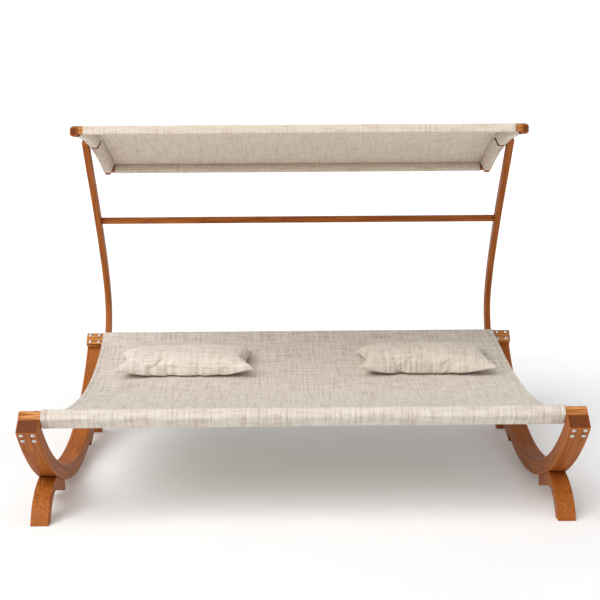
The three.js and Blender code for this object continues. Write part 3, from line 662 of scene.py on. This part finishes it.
def cloth_mesh(name, place, across, along, keep, seam, material):
    """A sheet on a grid. across and along are the cloth's own lengths at the grid's lines, in metres."""
    us, vs = range(len(across)), range(len(along))
    vertices = [place(i, j) for j in vs for i in us]
    faces = []
    for j in range(len(along) - 1):
        for i in range(len(across) - 1):
            if keep(i, j):
                k = j * len(across) + i
                faces.append((k, k + 1, k + 1 + len(across), k + len(across)))
    weave = [(across[i], along[j], 0) for j in vs for i in us]
    seams = [seam(i, j) for j in vs for i in us]
    used = sorted({v for f in faces for v in f})
    order = {v: k for k, v in enumerate(used)}
    made = add_object(name, [vertices[v] for v in used], [tuple(order[v] for v in f) for f in faces], material,
                      points={"weave": [weave[v] for v in used], "seam": [seams[v] for v in used]})
    thick = made.modifiers.new("thickness", "SOLIDIFY")
    thick.thickness, thick.offset = CLOTH, 0
    return bake(made)


def flat_area(across, along, keep):
    """The area of the grid's kept cells on the flat cloth."""
    cells = np.outer(np.diff(along), np.diff(across))
    return float(sum(cells[j, i] for j, i in np.ndindex(cells.shape) if keep(i, j)))


def lines(*spans):
    """Sorted grid lines from spans of (start, stop, count) and single places."""
    made = [np.linspace(*s) if isinstance(s, tuple) else np.array([s]) for s in spans]
    made = np.unique(np.round(np.concatenate(made), 6))
    return made[np.concatenate([[True], np.diff(made) > 0.0003])]


def ripple(x, y, scale, seed=0.0):
    return noise.noise(Vector((x * scale[0], y * scale[1], seed)))


# the seat sling: round each rail, and back to a seam on its underside
OFF = ROOM + CLOTH / 2
SLING_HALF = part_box("seat_sling")[1].x
SLING_LOW = 0.3318
SLING_SEAM = 0.095  # from the middle of each rail to the seam under the sling
SLING_SEAM_SHOWS = 0.065  # from the start of the flat sheet to the seam's stitches
SLING_DRIFT = 0.018  # the middle of the sling hangs this far to the right
HEM = 0.018
NO_SEAM = 0.02  # a distance at which no seam shows
half_a, half_b = RAIL_WIDE / 2 + OFF, RAIL_THICK / 2 + OFF
middle, along, out = rail_axes(1)
corner_a = middle + along * half_a - out * half_b
corner_b = middle + along * half_a + out * half_b
corner_c = middle - along * half_a + out * half_b
corner_y = corner_a[0] - ARC_Y


def sling_height(y):
    """The height of the sling between the rails, y from the middle of the arcs."""
    return SLING_LOW + (corner_a[1] - SLING_LOW) * (y / corner_y) ** 2


seam_y = middle[0] - ARC_Y - SLING_SEAM
seam_point = (ARC_Y + seam_y, sling_height(seam_y) - 1.6 * CLOTH)
sheet_end = corner_y - 0.03
around = rounded([(ARC_Y + sheet_end, sling_height(sheet_end)), corner_a, corner_b, corner_c, seam_point],
                 [0.010, 0.014, 0.011])
lower = around[-1] + (around[-2] - around[-1]) * np.linspace(1, 0, 8)[:, None]
around = np.array(list(around[:-2]) + list(lower))
sheet_ys = np.linspace(-sheet_end, sheet_end, 74)
sheet = np.array([(ARC_Y + y, sling_height(y)) for y in sheet_ys])
mirrored = np.array([(2 * ARC_Y - y, z) for y, z in around])
sling_path = np.concatenate([mirrored[:0:-1], sheet, around[1:]])
sling_first, sling_last = len(mirrored) - 1, len(mirrored) - 1 + len(sheet) - 1
sling_xs = lines((-SLING_HALF, SLING_HALF, 110), *(s * (SLING_HALF - HEM + d) for s in (-1, 1)
                                                   for d in (-0.002, 0, 0.002, HEM - 0.002)))
sling_along = lengths_of(sling_path)
sling_directions = np.gradient(sling_path, axis=0)
sling_directions /= np.linalg.norm(sling_directions, axis=1)[:, None]
sling_ups = np.stack([-sling_directions[:, 1], sling_directions[:, 0]], axis=1)
pillow_places = [middle_of(f"pillow_{side}") for side, _ in SIDES]


def sling_point(i, j):
    x, (y, z) = sling_xs[i], sling_path[j]
    free = max(0.0, 1 - ((y - ARC_Y) / sheet_end) ** 2) if sling_first < j < sling_last else 0.0
    lift = 0.0007 if abs(x) > SLING_HALF - HEM else 0.0
    y, z = y + sling_ups[j][0] * lift, z + sling_ups[j][1] * lift
    edge = max(0.0, (abs(x) - 0.72) / (SLING_HALF - 0.72))
    z += free * (0.0022 * ripple(x, y, (1.1, 5.0), 2) + 0.0010 * ripple(x, y, (9, 2.5), 5) + 0.006 * edge**2)
    for place in pillow_places:
        away = ((x - place[0]) / 0.30) ** 2 + ((y - place[1]) / 0.17) ** 2
        z -= 0.004 * free * math.exp(-away)
    loose = 1 - free if not sling_first <= j <= sling_last else 0.0
    y += 0.0008 * loose * ripple(x, j * 0.05, (14, 1), 8)
    return (x + SLING_DRIFT * free**0.8, y, z)


def sling_seam(i, j):
    hem = abs(abs(sling_xs[i]) - (SLING_HALF - HEM))
    front_seam = abs(sling_along[j] - sling_along[sling_first] - SLING_SEAM_SHOWS)
    back_seam = abs(sling_along[sling_last] - sling_along[j] - SLING_SEAM_SHOWS)
    rail_seam = min(front_seam, back_seam)
    return min(hem + 0.0016, rail_seam + 0.0012, NO_SEAM)


sling = cloth_mesh("sling", sling_point, sling_xs, sling_along, lambda i, j: True, sling_seam, LINEN)
settle(sling, "frame", "linen", "seat_sling")

# the canopy: a sheet over the rails, with a sleeve round each end rail and two round each side rail
side_half = (CANOPY_RAIL_HALF[0] + OFF, CANOPY_RAIL_HALF[1] + OFF)
end_half = (END_RAIL_HALF[0] + OFF, END_RAIL_HALF[1] + OFF)
top = CANOPY_RAIL_HALF[1] + OFF
middle_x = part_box("canopy_front_rail")[1].x - BARE_END  # half the width between the side sleeves' seams
side_turn = rounded([(-side_half[0] + 0.012, side_half[1]), side_half, (side_half[0], -side_half[1]),
                     (-side_half[0], -side_half[1]), (middle_x - CANOPY_RAIL_X, top - 1.6 * CLOTH)],
                    [0.0115, 0.0115, 0.008])
end_turn = rounded([(-end_half[0] + 0.010, end_half[1]), end_half, (end_half[0], -end_half[1]),
                    (-end_half[0], -end_half[1]), (-end_half[0] - 0.004, end_half[1] - 1.6 * CLOTH)],
                   [0.007, 0.007, 0.006])
side_turn, end_turn = np.array(side_turn), np.array(end_turn)
canopy_x0 = CANOPY_RAIL_X + side_turn[0][0]
canopy_xs = lines((-canopy_x0, canopy_x0, 90), -middle_x, middle_x)
arc_start = END_ANGLES["front"] * CANOPY_R - end_turn[0][0]
arc_stop = END_ANGLES["back"] * CANOPY_R + end_turn[0][0]
pivot_arc = PIVOT_ANGLE * CANOPY_R
side_start, side_stop = SIDE_INSET, CANOPY_BACK_ANGLE * CANOPY_R - SIDE_INSET
canopy_arcs = lines((arc_start, arc_stop, 60), side_start, side_stop, pivot_arc - SLEEVE_GAP / 2,
                    pivot_arc + SLEEVE_GAP / 2)
side_lengths, end_lengths = lengths_of(side_turn), lengths_of(end_turn)
canopy_across = np.concatenate([canopy_xs[0] - side_lengths[:0:-1], canopy_xs,
                                canopy_xs[-1] + side_lengths[1:]])
canopy_along = np.concatenate([canopy_arcs[0] - end_lengths[:0:-1], canopy_arcs,
                               canopy_arcs[-1] + end_lengths[1:]])
SIDE_COUNT, END_COUNT = len(side_turn) - 1, len(end_turn) - 1
CANOPY_SAG = 0.009
CANOPY_FOLDS = 0.0028  # the height of the folds that fan out from its corners
CANOPY_WAVES = 0.0022


def canopy_place(i, j):
    radius = CANOPY_R + top
    if i < SIDE_COUNT:
        a, b = side_turn[SIDE_COUNT - i]
        x, radius = -(CANOPY_RAIL_X + a), CANOPY_R + b
    elif i >= SIDE_COUNT + len(canopy_xs):
        a, b = side_turn[i - SIDE_COUNT - len(canopy_xs) + 1]
        x, radius = CANOPY_RAIL_X + a, CANOPY_R + b
    else:
        x = canopy_xs[i - SIDE_COUNT]
    if END_COUNT <= j < END_COUNT + len(canopy_arcs):
        s = canopy_arcs[j - END_COUNT]
        if SIDE_COUNT <= i < SIDE_COUNT + len(canopy_xs):
            wide = max(0.0, 1 - (x / canopy_x0) ** 2)
            long = max(0.0, math.sin(math.pi * (s - arc_start) / (arc_stop - arc_start)))
            radius -= CANOPY_SAG * wide**0.7 * long**0.6
            corner = min(math.hypot(abs(x) - middle_x, s - arc_start), 1.2)
            fan = math.sin(9 * math.atan2(s - arc_start, middle_x - abs(x) + 0.02) * 2)
            radius += CANOPY_FOLDS * fan * math.exp(-corner / 0.35) * min(1, corner / 0.1) * long * wide**0.3
            radius += CANOPY_WAVES * long * wide**0.4 * ripple(x, s, (1.6, 7.0), 3)
        y, z = canopy_point(radius, s / CANOPY_R)
        return (x, y, z)
    end = "front" if j < END_COUNT else "back"
    a, b = end_turn[END_COUNT - j] if j < END_COUNT else end_turn[j - END_COUNT - len(canopy_arcs) + 1]
    angle = END_ANGLES[end]
    y, z = canopy_point(END_RAIL_R, angle)
    outward = a if end == "back" else -a
    y += outward * math.cos(angle) + b * math.sin(angle)
    z += -outward * math.sin(angle) + b * math.cos(angle)
    return (x, y, z)


def canopy_keep(i, j):
    on_sheet = SIDE_COUNT <= i < SIDE_COUNT + len(canopy_xs) - 1
    x = abs(canopy_xs[i - SIDE_COUNT] + canopy_xs[i - SIDE_COUNT + 1]) / 2 if on_sheet else 9
    if x < middle_x:
        return True
    if not END_COUNT <= j < END_COUNT + len(canopy_arcs) - 1:
        return False
    s = (canopy_arcs[j - END_COUNT] + canopy_arcs[j - END_COUNT + 1]) / 2
    return side_start < s < side_stop and abs(s - pivot_arc) > SLEEVE_GAP / 2


def canopy_seam(i, j):
    x = canopy_across[i]
    near = min(abs(abs(x) - middle_x), abs(abs(x) - (canopy_across[-1] - 0.006)))
    s = canopy_along[j]
    near = min(near, abs(s - arc_start - 0.008), abs(arc_stop - 0.008 - s))
    return min(near, NO_SEAM)


canopy = cloth_mesh("canopy_cloth", canopy_place, canopy_across, canopy_along, canopy_keep, canopy_seam,
                    CANOPY_LINEN)
settle(canopy, "canopy", "linen", "canopy_fabric")
flat_area(canopy_across, canopy_along, canopy_keep)

# ---------- pillows ----------


BAG = (0.60, 0.330)  # the bag's flat width and depth
BAG_CELLS = (88, 50)
PILLOW_PRESSURE, PILLOW_FRAMES = 8.0, 34
ABOVE_SEAM, BELOW_SEAM = 0.060, 0.041  # the pillow's height on each side of its seam


def flat_bag(name, wide, deep, columns, rows):
    """Two flat layers of cloth, one over the other, that share their edge."""
    vertices, index = [], {}
    for layer in (0, 1):
        for r in range(rows + 1):
            for c in range(columns + 1):
                at_edge = r in (0, rows) or c in (0, columns)
                if layer and at_edge:
                    index[layer, r, c] = index[0, r, c]
                    continue
                u, v = 2 * c / columns - 1, 2 * r / rows - 1
                rise = 0.0 if at_edge else (0.004 if layer else -0.004)
                index[layer, r, c] = len(vertices)
                vertices.append((wide / 2 * u, deep / 2 * v, rise))
    faces = []
    for layer in (0, 1):
        for r in range(rows):
            for c in range(columns):
                loop = [index[layer, r, c], index[layer, r, c + 1], index[layer, r + 1, c + 1],
                        index[layer, r + 1, c]]
                faces.append(tuple(loop if layer else loop[::-1]))
    return add_object(name, vertices, faces, LINEN,
                      points={"weave": vertices, "seam": [NO_SEAM] * len(vertices)})


def inflate(bag, pressure, frames):
    cloth = bag.modifiers.new("stuffing", "CLOTH")
    settings = cloth.settings
    settings.quality, settings.mass, settings.air_damping = 6, 0.25, 4
    settings.tension_stiffness = settings.compression_stiffness = 18
    settings.shear_stiffness, settings.bending_stiffness = 6, 0.35
    settings.use_pressure, settings.uniform_pressure_force = True, pressure
    settings.effector_weights.gravity = 0
    cloth.collision_settings.use_collision = False
    cloth.point_cache.frame_start, cloth.point_cache.frame_end = 1, frames
    for at in range(1, frames + 1):
        scene.frame_set(at)
    bake(bag)
    scene.frame_set(1)


def pillow(side, seed, material, turn):
    node = f"pillow_{side}"
    centre, size = middle_of(node), size_of(node)
    bag = flat_bag(f"{node}_stuffed", *BAG, *BAG_CELLS)
    co = np.array([v.co for v in bag.data.vertices])
    for k, v in enumerate(bag.data.vertices):
        v.co.z += 0.0025 * ripple(co[k][0], co[k][1], (16, 16), seed) * (1 if co[k][2] > 0 else -1)
    inflate(bag, PILLOW_PRESSURE, PILLOW_FRAMES)
    bag.data.materials.clear()
    bag.data.materials.append(material)
    smooth = bag.modifiers.new("smooth", "SUBSURF")
    smooth.levels = smooth.render_levels = 1
    bake(bag)
    mesh = bag.data
    co = np.array([v.co for v in mesh.vertices])
    co[:, :2] -= (co.min(0) + co.max(0))[:2] / 2
    co *= np.array([1.02 * size[0] / np.ptp(co[:, 0]), 1.03 * size[1] / np.ptp(co[:, 1]), 1])
    # full to near its edge, and flatter below, where it lies on the sling
    thick = np.abs(co[:, 2]) / np.abs(co[:, 2]).max()
    upper = co[:, 2] >= 0
    u, v = co[:, 0] / np.abs(co[:, 0]).max(), co[:, 1] / np.abs(co[:, 1]).max()
    corner = np.abs(u * v)
    below = -BELOW_SEAM * np.minimum(thick**0.3, 0.96 + 0.04 * thick) * (1 - 0.85 * corner**2)
    co[:, 2] = np.where(upper, ABOVE_SEAM * thick**0.66, below)
    # its corners stand out as ears: the front ones lift, and the back ones droop to the sling
    ear = corner**5
    droop = np.where(v > 0, -0.030, 0.004) * corner**2.5
    co += np.stack([0.012 * ear * np.sign(u), 0.004 * ear * np.sign(v), droop], axis=1)
    # between its ears the front bulges forward and down
    front = (1 - u**4) * np.clip(-v, 0, 1)
    co[:, 1] -= 0.016 * front**2
    co[:, 2] -= 0.020 * front**3
    co[:, 2] = np.maximum(co[:, 2], -BELOW_SEAM + 0.0006 * thick)
    shift = -co[:, 2].min() + 0.0016
    c, s = math.cos(turn), math.sin(turn)
    x, y = co[:, 0] * c - co[:, 1] * s, co[:, 0] * s + co[:, 1] * c
    for k, v in enumerate(mesh.vertices):
        place = np.array([centre[0] + x[k], centre[1] + y[k]])
        v.co = (*place, sling_height(place[1] - ARC_Y) + CLOTH / 2 + shift + co[k, 2])
    mesh.polygons.foreach_set("use_smooth", [True] * len(mesh.polygons))
    settle(bag, node, "pillow_linen", node)
    return bag


pillow("left", 1.5, PILLOW_LINEN, math.radians(0.4))
pillow("right", 6.5, PILLOW_LINEN_TURNED_SHADED, math.radians(-0.6))

# ---------- floor, lights and camera ----------

FLOOR_HALF = 300
GLOW_PLACES = (1.4, 4.5)  # the floor's glow rises between these distances from the middle
GLOW = (0.12, 0.35)
CAMERA_PLACE = (-0.060, -4.927, 1.511)
CAMERA_TURN = (90 - 9.04, 0.35, -0.74)  # degrees
CAMERA_LENS = 71.64

floor_nodes = Nodes("studio_floor")
place = floor_nodes.node("ShaderNodeTexCoord").outputs["Object"]
speck = floor_nodes.noise(place, 3.0, 3, 0.5)
floor_nodes.put(floor_nodes.ramp(speck, [(0.3, (0.82, 0.82, 0.82)), (0.7, (0.85, 0.85, 0.85))]),
                floor_nodes.shader.inputs["Base Color"])
floor_nodes.shader.inputs["Roughness"].default_value = 0.9
# the floor brightens into the white backdrop with distance from the lounger
away = floor_nodes.node("ShaderNodeVectorMath", {0: place}, operation="LENGTH").outputs["Value"]
floor_nodes.shader.inputs["Emission Color"].default_value = (1, 1, 1, 1)
floor_nodes.put(floor_nodes.level(away, *GLOW_PLACES, *GLOW), floor_nodes.shader.inputs["Emission Strength"])
corners = [(a * FLOOR_HALF, b * FLOOR_HALF, 0) for a, b in ((-1, -1), (1, -1), (1, 1), (-1, 1))]
floor = add_object("floor", corners, [(0, 1, 2, 3)], floor_nodes.material)


def area_light(name, place, target, size, energy, colour=(1, 1, 1)):
    data = bpy.data.lights.new(name, "AREA")
    data.shape, data.size, data.energy, data.color = "DISK", size, energy, colour
    lamp = bpy.data.objects.new(name, data)
    lamp.location = place
    lamp.rotation_euler = (Vector(target) - Vector(place)).to_track_quat("-Z", "Y").to_euler()
    scene.collection.objects.link(lamp)


def sun(name, direction, strength, spread):
    data = bpy.data.lights.new(name, "SUN")
    data.energy, data.angle = strength, math.radians(spread)
    lamp = bpy.data.objects.new(name, data)
    lamp.rotation_euler = Vector(direction).to_track_quat("-Z", "Y").to_euler()
    scene.collection.objects.link(lamp)


sun("key", (0.58, 0.80, -1.0), 2.2, 50)
area_light("near_side", (-3.0, -2.4, 3.0), (0, 0, 0.4), 2.4, 36)
world = bpy.data.worlds.new("studio")
world.use_nodes = True
sky = world.node_tree.nodes
for socket, strength in (("Ambient", 0.46), ("Backdrop", 1.0)):
    light = sky["Background"] if socket == "Ambient" else sky.new("ShaderNodeBackground")
    light.name = socket
    light.inputs["Color"].default_value = (1, 1, 1, 1)
    light.inputs["Strength"].default_value = strength
seen = sky.new("ShaderNodeMixShader")
link = world.node_tree.links.new
link(sky.new("ShaderNodeLightPath").outputs["Is Camera Ray"], seen.inputs[0])
link(sky["Ambient"].outputs[0], seen.inputs[1])
link(sky["Backdrop"].outputs[0], seen.inputs[2])
link(seen.outputs[0], sky["World Output"].inputs["Surface"])
scene.world = world
scene.view_settings.view_transform = "Standard"

camera_data = bpy.data.cameras.new("camera")
camera_data.sensor_width, camera_data.lens = 36, CAMERA_LENS
camera_data.clip_end = 200
camera = bpy.data.objects.new("camera", camera_data)
camera.location = CAMERA_PLACE
camera.rotation_euler = [math.radians(a) for a in CAMERA_TURN]
scene.collection.objects.link(camera)
scene.camera = camera

# ---------- final update -------------

bpy.context.view_layer.update()
